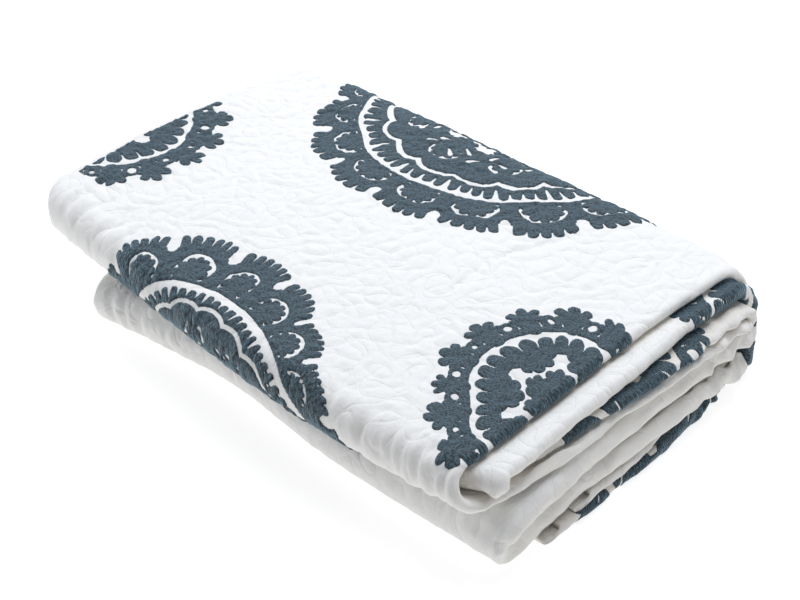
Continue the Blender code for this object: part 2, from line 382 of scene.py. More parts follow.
# Uneven layers at the end at +X: where they fade in and out, how far they move, and waves in rows of share,
# radians a metre along Y, radians a metre along Z, and phase
CRUMPLE_PLACES = (-0.090, 0.0)
CORNER_START = (0.215, 0.290)
CORNER_END = (0.325, 0.350)
CORNER_TOP = (0.070, 0.085)
CALM_TOP = (0.078, 0.095)
CALM_SHARE = 0.6
CRUMPLE_SHIFT = 0.0006
CORNER_SLIDE = 0.0022
CORNER_HEAVE = 0.0016
STACK_HEIGHT = 0.1
SLIDE_WAVES = ((1.0, 74, 210, 0.0), (0.7, 131, -330, 1.3), (0.4, 290, 420, 0.0))
HEAVE_WAVES = ((1.0, 52, 0, 0.6), (0.6, 123, 0, 1.9))
CORNER_SLIDE_WAVES = ((1.0, 205, 120, 0.5), (0.5, 390, -260, 0.0))
CORNER_HEAVE_WAVES = ((1.0, 230, 0, 1.0),)

# Colours: cotton in the open, and the painted warm shade that it takes in the hollows between plies; thread
# as a whole, and the dark and light tones of its speckle
COTTON = (0.86, 0.85, 0.82)
# Painted warm shade, for the hollows where the face lies between other plies
COTTON_PAINTED_SHADE = (0.80, 0.765, 0.70)
THREAD = (0.075, 0.115, 0.145)
THREAD_DARK = (0.004, 0.011, 0.016)
THREAD_LIGHT = (0.066, 0.120, 0.150)
THREAD_SHEEN = (0.50, 0.76, 0.92)
THREAD_ROW = 0.0017

# Camera: its lens and film in millimetres, its angle down, the way that it looks, and its place
FILM_WIDTH = 36
LENS = 86.48
CAMERA_PITCH = 34.118
CAMERA_HEADING = (-0.69283873, 0.72109257, 0)
CAMERA_PLACE = (0.98836, -1.01571, 0.99180)

# Light: one row for each lamp, as name, place, target, size and power in watts
LIGHT_COLOUR = (0.905, 0.935, 1.0)
SURROUND_STRENGTH = 0.14
LAMPS = (
    ("overhead", (-0.25, 0.65, 2.1), (0, 0, 0), 1.8, 53),
    ("back", (-1.3, 1.4, 1.1), (0, 0, 0.1), 1.2, 10),
    ("front", (-1.5, -1.0, 0.30), (-0.25, -0.2, 0.03), 0.9, 10),
    ("side", (2.0, 0.1, 1.2), (0, 0, 0.05), 1.6, 6.5),
)
FLOOR_REACH = 6


def smooth_through(value, table, column):
    """A table's column at places in its first: cubics whose slope at a row is its neighbours' chord."""
    stations, heights = np.array(table)[:, (0, column)].T
    slopes = np.gradient(heights, stations)
    value = np.clip(value, stations[0], stations[-1])
    index = np.clip(np.searchsorted(stations, value, side="right") - 1, 0, len(stations) - 2)
    gap = stations[index + 1] - stations[index]
    share = (value - stations[index]) / gap
    rise = share * share * (3 - 2 * share)
    leaving = gap * slopes[index] * share * (1 - share) ** 2
    arriving = gap * slopes[index + 1] * share * share * (share - 1)
    return heights[index] * (1 - rise) + heights[index + 1] * rise + leaving + arriving


def ramp(value, start, end):
    """0 before start, 1 after end, and a cubic ease between."""
    share = np.clip((value - start) / (end - start), 0, 1)
    return share * share * (3 - 2 * share)


def window(value, stations):
    """0 before the first station, 1 between the middle two, and 0 after the last."""
    return ramp(value, stations[0], stations[1]) * (1 - ramp(value, stations[2], stations[3]))


def band_line(station, offset):
    """Centre line of the band and its normal, which points to the outer ply.

    Even sections are levels: a straight run along Y with an eased change of height. Odd sections are turns:
    half an ellipse from the end of one level to the start of the next.
    """
    section = np.minimum(np.floor(station).astype(int), 2 * len(TURNS))
    share = station - section
    y = np.zeros_like(station)
    z = np.zeros_like(station)
    slope_y = np.zeros_like(station)
    slope_z = np.zeros_like(station)
    for number, (first, last, first_height, last_height, rise_start, rise_end) in enumerate(LEVELS):
        here = section == 2 * number
        wedge = (MIDDLE_PLY - offset / PLY_PITCH) * WEDGE_STEP if number == 0 else 0.0
        run = first + wedge + share * (last - first - wedge)
        risen = np.clip((run - rise_start) / (rise_end - rise_start), 0, 1)
        rise = last_height - first_height
        way = np.sign(last - first)
        y = np.where(here, run, y)
        z = np.where(here, first_height + rise * risen * risen * (3 - 2 * risen), z)
        slope_y = np.where(here, way, slope_y)
        slope_z = np.where(here, way * rise * 6 * risen * (1 - risen) / (rise_end - rise_start), slope_z)
    for number, (side, depth) in enumerate(TURNS):
        here = section == 2 * number + 1
        edge = LEVELS[number][1]
        start_height = LEVELS[number][3]
        end_height = LEVELS[number + 1][2]
        middle = (start_height + end_height) / 2
        half = (start_height - end_height) / 2
        angle = np.pi * share
        y = np.where(here, edge + side * depth * np.sin(angle), y)
        z = np.where(here, middle + half * np.cos(angle), z)
        slope_y = np.where(here, side * depth * np.cos(angle), slope_y)
        slope_z = np.where(here, -half * np.sin(angle), slope_z)
    size = np.hypot(slope_y, slope_z)
    return y, z, slope_z / size, -slope_y / size


def ply_ends(station):
    """Places along X where each ply starts and ends: near its loop at +X, and at the far end."""
    outer_end, inner_end, far_end = (smooth_through(station, PLY_ENDS, column) for column in (1, 2, 3))
    near = [end - LOOP_REACH for end in (outer_end, outer_end, inner_end, inner_end)]
    far = [far_end + step for step in FAR_END_STEPS]
    return near, far, outer_end


def flaring(station):
    """1 where the outer pair reaches well past the inner one and fills the level's whole height, else 0."""
    past = smooth_through(station, PLY_ENDS, 1) - smooth_through(station, PLY_ENDS, 2)
    return ramp(past, *FLARE_PAST)


def ply_place(station, across):
    """Place along X of a point of the pleated band, its offset from the centre line, and its face's way.

    across counts plies and loops from the outer hem: a ply from 0 to 1, a loop from 1 to 2, and so on. A ply
    is straight. A loop joins two plies at one end of the band: half a circle, drawn out to a blunt point at
    +X. Past the outer pair's end, the inner pair rises to it. Where the outer pair is the longer one, its
    inner ply drops to close the level, and its lip slants.
    """
    near, far, outer_end = ply_ends(station)
    section = np.minimum(np.floor(across).astype(int), 2 * PLY_COUNT - 2)
    share = across - section
    x = np.zeros_like(across)
    offset = np.zeros_like(across)
    face_x = np.zeros_like(across)
    face_offset = np.zeros_like(across)
    for ply in range(PLY_COUNT):
        here = section == 2 * ply
        outward = ply % 2 == 0
        first = far[ply] if outward else near[ply]
        last = near[ply] if outward else far[ply]
        x = np.where(here, first + share * (last - first), x)
        offset = np.where(here, (MIDDLE_PLY - ply) * PLY_PITCH, offset)
        face_offset = np.where(here, 1.0 if outward else -1.0, face_offset)
    for loop in range(PLY_COUNT - 1):
        here = section == 2 * loop + 1
        side = 1 if loop % 2 == 0 else -1
        turn = near[loop] if side > 0 else far[loop]
        angle = np.pi * share
        nose = LOOP_NOSE * np.sin(angle) ** 3 if side > 0 else 0.0
        x = np.where(here, turn + side * LOOP_RADIUS * (np.sin(angle) + nose), x)
        rise = LOOP_RADIUS * np.cos(angle) * (1 - LOOP_PINCH * nose)
        offset = np.where(here, (1 - loop) * PLY_PITCH + rise, offset)
        face_x = np.where(here, np.sin(angle), face_x)
        face_offset = np.where(here, side * np.cos(angle), face_offset)
    past_outer = ramp(x, outer_end + ROLL_START, outer_end + ROLL_END)
    outer_side = ramp(offset, -MIDDLE_PLY * PLY_PITCH, -PLY_PITCH / 2) * (offset < 0)
    flare = flaring(station)
    flare_start = near[2] + LOOP_REACH + FLARE_START
    past_inner = ramp(x, flare_start, flare_start + FLARE_LENGTH)
    inward = np.clip(MIDDLE_PLY - offset / PLY_PITCH, 0, 1) * (offset > 0)
    upper_side = np.where((station > LIP_TURNED[0]) & (station < LIP_TURNED[1]), 1 - inward, inward)
    x = x - LIP_SLANT * flare * past_inner * upper_side * (offset > 0)
    offset = offset + ROLL_RISE * past_outer * outer_side - FLARE_DROP * flare * past_inner * inward
    return x, offset, face_x, face_offset


def setback(station, x, across):
    """How far the inner pair's front fold stays back from the outer pair's, more and more towards +X."""
    inner_pair = window(station, FRONT_FOLD_STATIONS) * (across > INNER_PAIR_START)
    return inner_pair * INNER_PAIR_SHORT * ramp(x, *INNER_PAIR_SHORT_PLACES)


def sagging(x, y, z):
    """Moves the lower fold back by a table along X, and the front fold down, each faded along Y and Z."""
    back = smooth_through(x, LOWER_FOLD_BACK, 1)
    y = y + back * (1 - ramp(z, *LOWER_FOLD_TOPS)) * (1 - ramp(y, 0.0, LOWER_FOLD_DEPTH))
    droop = DROOP * (1 - ramp(x, *DROOP_FADE)) * (1 - ramp(y, *DROOP_DEPTH))
    return x, y, z - droop * window(z, DROOP_HEIGHTS)


def rippling(y, z, rows):
    """Sum of sines of Y and Z, one for each row of share, radians a metre along each, and phase."""
    return sum(share * np.sin(along_y * y + along_z * z + phase) for share, along_y, along_z, phase in rows)


def crumpled(x, y, z):
    """Uneven layers at the end at +X: slow waves shift each layer along X, and raise and lower them all.

    The waves fade in towards the end, are less in the top layers, and are largest in the corner by the wrap.
    """
    near_end = ramp(x, *CRUMPLE_PLACES)
    corner = near_end * ramp(y, *CORNER_START) * (1 - ramp(y, *CORNER_END)) * (1 - ramp(z, *CORNER_TOP))
    calm = 1 - CALM_SHARE * ramp(z, *CALM_TOP)
    slide = CRUMPLE_SHIFT * near_end * calm * rippling(y, z, SLIDE_WAVES)
    heave = near_end * (z / STACK_HEIGHT) * calm * CRUMPLE_SHIFT * rippling(y, z, HEAVE_WAVES)
    x = x + slide + CORNER_SLIDE * corner * rippling(y, z, CORNER_SLIDE_WAVES)
    z = z + heave + CORNER_HEAVE * corner * rippling(y, z, CORNER_HEAVE_WAVES)
    return x, y, z


def cloth_point(station, across, height):
    """A point at a height above the cloth's middle surface, on the side of its face.

    The band's centre line, plus the ply's offset and the height along its normal. Close to the surface that
    the quilt lies on, heights are pressed flat by an exponential, so none is below it.
    """
    x, offset, face_x, face_offset = ply_place(station, across)
    y, z, normal_y, normal_z = band_line(station, offset)
    leaning = window(station, FRONT_FOLD_STATIONS) * FRONT_FOLD_LEAN * (
        np.clip((x - LEAN_START) / (LEAN_END - LEAN_START), 0, None) ** LEAN_POWER
    )
    pull = WRAP_PULL * ramp(x, -WRAP_PULL_LENGTH, 0.0)
    lifted = offset + height * face_offset
    y = y + lifted * normal_y + leaning + setback(station, x, across)
    loose = ramp(station, *LOOSE_STATIONS) * (1 - ramp(y, WEDGE_RISE_START, WEDGE_RISE_END))
    inward = (MIDDLE_PLY - offset / PLY_PITCH) / (PLY_COUNT - 1)
    y = y - window(station, WRAP_STATIONS) * pull
    z = z + lifted * normal_z + LOOSE_LIFT * loose * inward
    x, y, z = sagging(x, y, z)
    x, y, z = crumpled(x, y, z)
    z = np.where(z < FLOOR_REST, FLOOR_REST * np.exp(np.minimum(z, FLOOR_REST) / FLOOR_REST - 1), z)
    return np.stack((x + height * face_x - MIDDLE[0], y - MIDDLE[1], z), axis=-1)


def across_of(station, u, pair):
    """The place across the pleats of a point u along the face of a pair's upper ply.

    Up to the ply's end u is X. Past it, u runs round the loop and back along the ply below.
    """
    near, far = ply_ends(station)[:2]
    turn = near[2 * pair]
    upper = (u - far[2 * pair]) / (turn - far[2 * pair])
    round_loop = loop_length(station, 2 * pair)
    turned = (u - turn) / round_loop
    lower = (u - turn - round_loop) / (turn - far[2 * pair + 1])
    across = np.where(turned < 1, 1 + turned, 2 + np.clip(lower, 0, 1))
    return 4 * pair + np.where(u < turn, np.clip(upper, 0, 1), across)


def loop_length(station, loop):
    """Length round a loop. The outer pair's loop at +X is longer where it bulges."""
    return np.pi * LOOP_RADIUS * (1 + LOOP_NOSE / 3) + (FLARE_DROP * flaring(station) if loop == 0 else 0.0)


def flat_across(station, across):
    """Distance across the flat cloth: X on the outer ply, and from its end on the length of what follows."""
    near, far = ply_ends(station)[:2]
    section = np.minimum(np.floor(across).astype(int), 2 * PLY_COUNT - 2)
    share = across - section
    place = np.where(section == 0, far[0] + share * (near[0] - far[0]), near[0])
    for number in range(1, 2 * PLY_COUNT - 1):
        length = loop_length(station, number // 2) if number % 2 else near[number // 2] - far[number // 2]
        place = place + length * np.where(section > number, 1.0, np.where(section == number, share, 0.0))
    return place


def flat_along(station):
    """Distance along the flat cloth: the length of the band's centre line from its first end."""
    fine = np.linspace(0, LAST_STATION - JUST_UNDER, 4000)
    y, z = band_line(fine, np.zeros_like(fine))[:2]
    run = np.concatenate(([0], np.cumsum(np.hypot(np.diff(y), np.diff(z)))))
    return np.interp(station, fine, run)


def flat_place(station, across):
    """Places across and along the flat cloth. The inner pair's set-back counts as run along the cloth."""
    x = ply_place(station, across)[0]
    way = 1 - 2 * ramp(station, *SETBACK_TURNS)
    return flat_across(station, across), flat_along(station) - way * setback(station, x, across)


def plane_waves(seed, count, length, spread):
    """Seeded waves of about one length in all directions: two wave numbers and a phase for each."""
    dice = np.random.default_rng(seed)
    angle = dice.uniform(0, 2 * np.pi, count)
    number = 2 * np.pi / (length * dice.uniform(1 - spread, 1 + spread, count))
    return np.stack((number * np.cos(angle), number * np.sin(angle), dice.uniform(0, 2 * np.pi, count)), 1)


def wave_sum(u, v, waves):
    """Sum of the waves' cosines, with a mean square of 1, and its slopes along u and v."""
    value = np.zeros_like(u)
    slope_u = np.zeros_like(u)
    slope_v = np.zeros_like(u)
    for number_u, number_v, phase in waves:
        angle = number_u * u + number_v * v + phase
        value += np.cos(angle)
        sine = np.sin(angle)
        slope_u -= number_u * sine
        slope_v -= number_v * sine
    scale = math.sqrt(2 / len(waves))
    return value * scale, slope_u * scale, slope_v * scale


STITCHES = (
    plane_waves(11, QUILTING_WAVES, QUILTING_LENGTH, WAVE_SPREAD),
    plane_waves(17, QUILTING_WAVES, 0.9 * QUILTING_LENGTH, WAVE_SPREAD),
)
PUFFS = plane_waves(12, 24, 0.060, WAVE_SPREAD)
SWELLS = plane_waves(13, 16, 0.190, WAVE_SPREAD)
WRINKLES = plane_waves(14, 30, 0.0105, 0.35)


def quilting(u, v, waves):
    """How far a point is from one set of stitches: 0 on them, up to 1 or -1 between them.

    The stitches are where a sum of waves is 0. The sum is divided by the root of its square and its slope's
    square, the slope taken in waves of the mean length, which makes it the sine of the local phase.
    """
    value, slope_u, slope_v = wave_sum(u, v, waves)
    length = QUILTING_LENGTH / (2 * np.pi)
    return value / np.sqrt(value * value + (slope_u * slope_u + slope_v * slope_v) * length * length + 1e-9)


def beside_line(p, q, start, end):
    """Share of the way from start to end where that line is nearest to a point, and the distance there."""
    way_p = end[0] - start[0]
    way_q = end[1] - start[1]
    share = np.clip(((p - start[0]) * way_p + (q - start[1]) * way_q) / (way_p ** 2 + way_q ** 2), 0, 1)
    return share, np.hypot(p - start[0] - share * way_p, q - start[1] - share * way_q)


def crease_depth(u, v):
    """Depth of the main creases: troughs along straight lines, a bell across and shallower at the ends."""
    run = v - flat_along(np.array(2.0))
    depth = np.zeros_like(u)
    for start_u, start_run, end_u, end_run, width, deep in CREASES:
        share, distance = beside_line(u, run, (start_u, start_run), (end_u, end_run))
        along = CREASE_ENDS + (1 - CREASE_ENDS) * np.sin(np.pi * share)
        depth += deep * along * np.exp(-(distance / width) ** 2)
    return depth


def openness(station, across):
    """1 where the cloth's face is open to the air, down to 0 where it lies between other plies.

    It is the greatest of four: the top face and the lower fold's face, each faded along the band, the strip
    of the inner pair that reaches past the outer one, and the loops, by how far they face along X.
    """
    outer_end = ply_ends(station)[2]
    x, _, face_x, _ = ply_place(station, across)
    outer_ply = across < OUTER_PLY_END
    top_face = window(station, TOP_FACE_STATIONS) * outer_ply
    lower_face = window(station, LOWER_FACE_STATIONS) * outer_ply
    inner_ply = (across > 4) & (across < INNER_PLY_END)
    past = ramp(x, outer_end + BESIDE_PLACES[0], outer_end + BESIDE_PLACES[1])
    beside = window(station, BESIDE_STATIONS) * inner_ply * BESIDE_OPENNESS * past
    edge = EDGE_OPENNESS * np.abs(face_x) * (across < LAST_OPEN_PLACE)
    return np.maximum.reduce((top_face, lower_face, beside, edge))


def face_height(station, across, u, v):
    """Height of the cloth's face over its middle surface, its place between stitches, and how open it is.

    Pillows are a power of the product of both sets of stitches. Their loft, the swells and the wrinkles grow
    with how open the face is, which counts less round a loop. The main creases are taken off.
    """
    phases = [quilting(u, v, waves) for waves in STITCHES]
    section = np.floor(across)
    calm = 1 - LOOP_CALM * np.mod(section, 2) * np.sin(np.pi * (across - section))
    free = openness(station, across) * calm
    puffs, swells, wrinkles = (wave_sum(u, v, waves)[0] for waves in (PUFFS, SWELLS, WRINKLES))
    loft = HIDDEN_LOFT + (LOFT * (1 + PUFF_SHARE * puffs) - HIDDEN_LOFT) * free
    pillow = loft * np.abs(phases[0] * phases[1]) ** PILLOW_POWER
    height = FACE_HEIGHT + pillow + free * (SWELL_HEIGHT * swells + WRINKLE_HEIGHT * wrinkles)
    return height - np.where(across < 1.2, crease_depth(u, v), 0.0), phases, free


def grid_places(rows, end):
    """Places of a grid's lines: one row for each run of them, as first and last place, length and step.

    A run is a multiple of BLOCK equal steps of about the given one. It leaves out its last place, and the
    end closes the grid.
    """
    places = []
    for first, last, length, step in rows:
        steps = BLOCK * max(1, round(length / step / BLOCK))
        places += (first + (last - first) * np.arange(steps) / steps).tolist()
    return np.array(places + [end])


def stations_along():
    """Stations of the grid's rows, closer together where the cloth shows."""
    lengths = np.diff(flat_along(np.arange(LAST_STATION + 1) - JUST_UNDER))
    rows = [(number, number + 1, lengths[number], step) for number, step in enumerate(STATION_STEPS)]
    return grid_places(rows, LAST_STATION)


def block_faces(ids, fine):
    """Faces of a grid in blocks of BLOCK by BLOCK cells, as arrays of vertex numbers.

    A fine block gives one quad for each cell. Any other block is one polygon, which takes in the grid points
    along each side that it shares with a fine block.
    """
    faces = []
    rows, columns = np.nonzero(fine)
    for down, right in itertools.product(range(BLOCK), repeat=2):
        i = rows * BLOCK + down
        j = columns * BLOCK + right
        faces.append(np.stack((ids[i, j], ids[i + 1, j], ids[i + 1, j + 1], ids[i, j + 1]), 1))
    padded = np.pad(fine, 1)
    neighbours = (padded[1:-1, :-2], padded[2:, 1:-1], padded[1:-1, 2:], padded[:-2, 1:-1])
    sides = ((0, 0, 1, 0), (BLOCK, 0, 0, 1), (BLOCK, BLOCK, -1, 0), (0, BLOCK, 0, -1))
    for pattern in itertools.product((False, True), repeat=4):
        chosen = ~fine
        for neighbour, wanted in zip(neighbours, pattern):
            chosen = chosen & (neighbour == wanted)
        i, j = np.nonzero(chosen)
        walk = []
        for (start_i, start_j, way_i, way_j), split in zip(sides, pattern):
            for stop in range(BLOCK) if split else (0,):
                walk.append(ids[i * BLOCK + start_i + way_i * stop, j * BLOCK + start_j + way_j * stop])
        faces.append(np.stack(walk, 1))
    return faces


def rim_faces(front, back, front_fine, back_fine):
    """Faces that close the cloth's edges: one polygon for each block's side, from the face to the back."""
    faces = []
    turns = (
        lambda grid: grid[:, 0],
        lambda grid: grid[-1, :],
        lambda grid: grid[::-1, -1],
        lambda grid: grid[0, ::-1],
    )
    for turn in turns:
        face_line = turn(front)
        back_line = turn(back)
        for face_split, back_split in itertools.product((False, True), repeat=2):
            start = BLOCK * np.nonzero((turn(front_fine) == face_split) & (turn(back_fine) == back_split))[0]
            face_stops = range(BLOCK, -1, -1) if face_split else (BLOCK, 0)
            back_stops = range(BLOCK + 1) if back_split else (0, BLOCK)
            walk = [face_line[start + stop] for stop in face_stops]
            walk += [back_line[start + stop] for stop in back_stops]
            faces.append(np.stack(walk, 1))
    return faces


def linked(name, data):
    """An object in the scene that shows a mesh, a lamp or a camera."""
    item = bpy.data.objects.new(name, data)
    bpy.context.scene.collection.objects.link(item)
    return item


def mesh_piece(name, places, faces, attributes, material):
    """An object from points, arrays of faces, and values for each point, less points that no face uses."""
    faces = [group for group in faces if len(group)]
    corners = np.concatenate([group.ravel() for group in faces])
    sizes = np.concatenate([np.full(len(group), group.shape[1]) for group in faces])
    used, corners = np.unique(corners, return_inverse=True)
    mesh = bpy.data.meshes.new(name)
    mesh.vertices.add(len(used))
    mesh.vertices.foreach_set("co", places[used].ravel())
    mesh.loops.add(len(corners))
    mesh.loops.foreach_set("vertex_index", corners.ravel().astype(np.int32))
    mesh.polygons.add(len(sizes))
    mesh.polygons.foreach_set("loop_start", np.concatenate(([0], np.cumsum(sizes)[:-1])).astype(np.int32))
    for title, values in attributes.items():
        kind = "FLOAT" if values.ndim == 1 else "FLOAT_VECTOR"
        layer = mesh.attributes.new(title, kind, "POINT")
        layer.data.foreach_set("value" if kind == "FLOAT" else "vector", values[used].ravel())
    mesh.update(calc_edges=True)
    mesh.validate()
    mesh.shade_smooth()
    mesh.materials.append(material)
    return linked(name, mesh)


def within(value, ranges):
    """True where a value is inside one of the ranges."""
    inside = np.zeros_like(value, bool)
    for first, last in ranges:
        inside |= (value > first) & (value < last)
    return inside


def cloth_piece(name, columns, face_fine_columns, back_fine_columns, face_fine_levels, material):
    """A closed piece of the cloth: its face and its back over the same grid, and a rim between them.

    columns are places across the pleats. A block is fine where its column is in a fine range, or where its
    station is in a fine range too.
    """
    rows = stations_along()
    station, across = np.meshgrid(rows, columns, indexing="ij")
    u, v = flat_place(station, across)
    height, phases, free = face_height(station, across, u, v)
    face = cloth_point(station, across, height)
    back = cloth_point(station, across, np.full_like(station, -BACK_HEIGHT))
    block_station = rows[BLOCK // 2::BLOCK][:, None]
    block_across = columns[BLOCK // 2::BLOCK][None, :]

    front_fine = within(block_across, face_fine_columns) | (
        within(block_station, face_fine_levels) & (block_across < 1)
    )
    back_fine = within(block_across, back_fine_columns) & (block_station >= 0)
    front_ids = np.arange(station.size).reshape(station.shape)
    back_ids = front_ids + station.size
    faces = block_faces(front_ids, front_fine)
    faces += [group[:, ::-1] for group in block_faces(back_ids, back_fine)]
    faces += rim_faces(front_ids, back_ids, front_fine, back_fine)
    places = np.concatenate((face.reshape(-1, 3), back.reshape(-1, 3)))
    flat = np.stack((u, v, np.zeros_like(u)), -1).reshape(-1, 3)
    # The third value is how open the face is, which also sets the cotton's painted shade in the hollows
    stitch = np.stack((*phases, free), -1).reshape(-1, 3)
    attributes = {"stitch": np.concatenate((stitch, stitch)), "flat": np.concatenate((flat, flat))}
    return mesh_piece(name, places, faces, attributes, material)


def outer_columns():
    """Places across the outer pair: the upper ply, the loop at +X, and a strip of the ply below."""
    width = OUTER_PLY_WIDTH
    strip = 2 + JOIN_SHARE
    rows = ((0, 1, width, VISIBLE_STEP), (1, 2, LOOP_STEPS, 1), (2, strip, JOIN_SHARE * width, HIDDEN_STEP))
    return grid_places(rows, strip - JOIN_GAP / width)


def inner_columns():
    """Places across the rest: back along the ply below, round the far loop, and the inner pair."""
    width = INNER_PLY_WIDTH
    rest = (1 - JOIN_SHARE) * width
    rows = (
        (2 + JOIN_SHARE, 3, rest, HIDDEN_COLUMN_STEP),
        (3, 4, LOOP_STEPS, 1.5),
        (4, 4 + HIDDEN_SHARE, HIDDEN_SHARE * width, HIDDEN_COLUMN_STEP),
        (4 + HIDDEN_SHARE, 5, (1 - HIDDEN_SHARE) * width, VISIBLE_STEP),
        (5, 6, LOOP_STEPS, 1),
        (6, 6 + JOIN_SHARE, JOIN_SHARE * width, HIDDEN_STEP),
        (6 + JOIN_SHARE, 7, rest, HIDDEN_COLUMN_STEP),
    )
    return grid_places(rows, 7)


def petal(p, q, start, end, start_radius, end_radius):
    """A round-ended stroke that widens: its radius less the distance from the line from start to end."""
    share, distance = beside_line(p, q, start, end)
    return start_radius + share * (end_radius - start_radius) - distance


def spoke(out, side, start, end, start_radius, end_radius):
    """A petal along the middle of a sector, from one place outward to another."""
    return petal(out, side, (start, 0), (end, 0), start_radius, end_radius)


def ring(reach, inner, outer):
    """A band between two radii."""
    return (outer - inner) / 2 - np.abs(reach - (inner + outer) / 2)


def sector(p, q, count, turn):
    """Folds the plane into one of count equal sectors: outward and sideways places in it, and its number."""
    angle = np.arctan2(q, p) - turn
    number = np.rint(angle * count / (2 * np.pi))
    angle = angle - number * 2 * np.pi / count
    reach = np.hypot(p, q)
    return reach * np.cos(angle), reach * np.sin(angle), number


def spray(out, side, centre, way, lobes, spread, length, radius):
    """Round-ended petals that fan out from a centre, by an angle to each side of the way that they point."""
    field = radius - np.hypot(out - centre, side)
    for angle in np.radians(np.linspace(-spread, spread, lobes)):
        tip = (centre + way * length * math.cos(angle), length * math.sin(angle))
        field = np.maximum(field, petal(out, side, (centre, 0), tip, 0.7 * radius, radius))
    return field


def palmette_gap(out, side, centre, lobes, length, radius, width, parted):
    """White line round a palmette: wide on top, and below only spots between its petals.

    It is the space between the palmette and a circle round it, whose radius is larger on top. A parted line
    is wide on both sides of its top instead.
    """
    around = np.arctan2(side, out - centre)
    distance = np.hypot(out - centre, side)
    if parted:
        wide = window(around, np.radians(PARTED_LINE[0])) + 0.7 * window(around, np.radians(PARTED_LINE[1]))
    else:
        wide = window(around, np.radians(WHOLE_LINE))
    palmette = spray(out, side, centre, 1, lobes, PALMETTE_SPREAD, length, radius)
    gap = np.minimum(length + radius - LINE_INSET + width * wide - distance, -palmette)
    return np.minimum(gap, (math.radians(LINE_END) - np.abs(around)) * distance)


def leafy_gap(p, q, inner, outer, count, turn, length, radius):
    """White space in a ring, between sprays that point inward from its rim and petals from its middle."""
    out, side = sector(p, q, count, turn)[:2]
    past, *shape = RIM_SPRAY
    leaves = spray(out, side, outer + past, -1, *shape, length, radius)
    out, side = sector(p, q, count, turn + math.pi / count)[:2]
    past, *shape = MIDDLE_SPRAY
    leaves = np.maximum(leaves, spray(out, side, inner - past, 1, *shape, 0.8 * radius))
    return np.minimum(ring(np.hypot(p, q), inner, outer), -leaves)


def stretched(p, q, rim, drawn_ring, drawn_tips):
    """Draws a rosette's plane out, so that its ring and its tips lie at the rim's radii and not as drawn.

    The rim has one row for each of some angles: the angle, the ring's radius and the tips' radius. Distance
    from the middle is scaled in two parts, inside the ring and outside it.
    """
    reach = np.maximum(np.hypot(p, q), 1e-6)
    angle = np.degrees(np.arctan2(q, p))
    ring_radius = smooth_through(angle, rim, 1)
    tip_radius = smooth_through(angle, rim, 2)
    inside = reach * drawn_ring / ring_radius
    outside = drawn_ring + (reach - ring_radius) * (drawn_tips - drawn_ring) / (tip_radius - ring_radius)
    stretch = np.where(reach < ring_radius, inside, outside) / reach
    return p * stretch, q * stretch


def handed(number, side, every):
    """Sideways places in a sector, turned over in one sector of every few."""
    return np.where(np.mod(number, every) == 1, -side, side)


def large_rosette(p, q, fingers, parted):
    """Fans of rounded fingers round a clean ring, a ring of teeth, a scalloped line, and a leafy middle.

    Each fan is a sector with fingers on its rim and a palmette in it, and a keyhole parts it from the next.
    The value is over 0 on thread. Shapes are joined by the greater value, and cut by the lesser with its
    opposite.
    """
    reach = np.hypot(p, q)

    out, side, number = sector(p, q, FANS, 0.0)
    fan = ring(reach, CLEAN_RING, FAN_BODY)
    pitch = FAN_WIDTH / fingers
    for step in range(fingers):
        along = (step - (fingers - 1) / 2) * pitch
        angle = along / FINGER_SPACING
        closer = ROOT_CLOSENESS * angle
        tip = FAN_TIPS - TIP_WIDTH * pitch - FAN_ARCH * (2 * along / FAN_WIDTH) ** 2
        root_place = (FINGER_ROOTS * math.cos(closer), FINGER_ROOTS * math.sin(closer))
        tip_place = (tip * math.cos(angle), tip * math.sin(angle))
        fan = np.maximum(fan, petal(out, side, root_place, tip_place, ROOT_WIDTH * pitch, TIP_WIDTH * pitch))
    width = LINE_WIDTHS[0] + LINE_WIDTHS[1] * np.cos(LINE_WIDTHS[2] * number)
    palmette = palmette_gap(out, handed(number, side, 3), *FAN_PALMETTE, width, parted)
    edge_out, edge_side = sector(p, q, FANS, math.pi / FANS)[:2]
    field = np.minimum(fan, -np.maximum(spoke(edge_out, edge_side, *KEYHOLE), palmette))

    out, side = sector(p, q, FANS, TEETH_TURN)[:2]
    longer = LONGER_TOOTH if parted else 0.0
    root, tip, *widths = TOOTH
    teeth = ring(reach, TEETH_RING[0], TEETH_RING[1] + longer)
    for place in TEETH:
        tooth = petal(out, side, (root, TOOTH_CLOSENESS * place), (tip + longer, place), *widths)
        teeth = np.maximum(teeth, tooth)
    edge_out, edge_side = sector(p, q, FANS, TEETH_TURN + math.pi / FANS)[:2]
    start, end, *widths = NOTCH
    teeth = np.minimum(teeth, -spoke(edge_out, edge_side, start, end + longer, *widths))
    scallop = np.minimum(np.hypot(out - SCALLOP[0], side) - SCALLOP[1], reach - TEETH_RING[0])
    field = np.maximum(field, np.maximum(teeth, -scallop))
    field = np.minimum(field, np.abs(scallop) - SCALLOP[2])

    out, side, number = sector(p, q, *MIDDLE_PALMETTES)
    palmette = palmette_gap(out, handed(number, side, 2), *MIDDLE_PALMETTE, True)
    middle = np.maximum.reduce([leafy_gap(p, q, *row) for row in LEAFY_RINGS])
    for count, place, turn in FLECKS:
        out, side, number = sector(p, q, count, turn)
        start = (place, FLECK_START)
        end = (place + FLECK_END[0], FLECK_END[1])
        fleck = petal(out, handed(number, side, 2), start, end, *FLECK_WIDTHS)
        middle = np.maximum(middle, fleck)
    return np.minimum(field, -np.maximum(palmette, middle))


